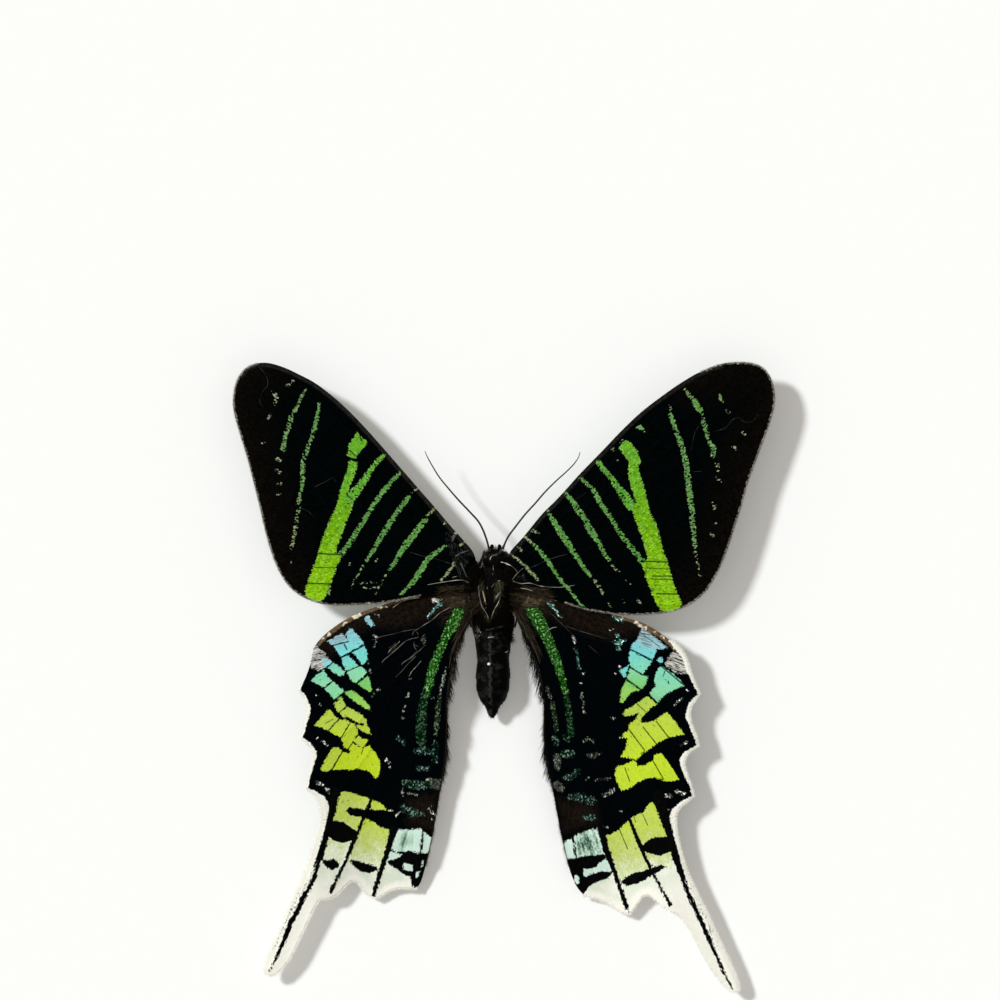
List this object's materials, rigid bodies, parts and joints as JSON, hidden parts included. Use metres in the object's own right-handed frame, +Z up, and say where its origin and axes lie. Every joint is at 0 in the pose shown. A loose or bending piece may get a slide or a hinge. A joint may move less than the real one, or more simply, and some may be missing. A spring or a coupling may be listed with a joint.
{
  "type": "spread swallowtail moth specimen",
  "caption": "Dried day-flying swallowtail moth with its wings spread flat: black forewings with green bands, tailed green and white hindwings.",
  "frame": {"origin": "on the surface that the moth lies on, under the middle of the thorax, where the wings' roots meet it", "axes": "+Y along the body towards the head, +X to the right seen from above with the head away, +Z up, away from the surface"},
  "size_m": [0.0706, 0.0822, 0.0061],
  "materials": {
    "body_hair": "dark brown hair with pale yellow-green stripes",
    "abdomen_shell": "satin black scales",
    "forewing_scales": "matte black scales with metallic green bands",
    "hindwing_scales": "black, metallic green and white scales",
    "white_fringe": "matte white hair scales",
    "antenna_shell": "satin black horn",
    "eye_shell": "glossy dark brown facets",
    "leg_shell": "satin dark brown horn with scales"
  },
  "bodies": {
    "root": {"thorax": "body_hair", "head": "body_hair", "abdomen": "abdomen_shell", "left_forewing": "forewing_scales", "right_forewing": "forewing_scales", "left_hindwing": "hindwing_scales", "right_hindwing": "hindwing_scales", "left_antenna": "antenna_shell", "right_antenna": "antenna_shell", "left_foreleg": "leg_shell", "right_foreleg": "leg_shell", "left_midleg": "leg_shell", "right_midleg": "leg_shell", "left_hindleg": "leg_shell", "right_hindleg": "leg_shell"}
  },
  "joints": []
}
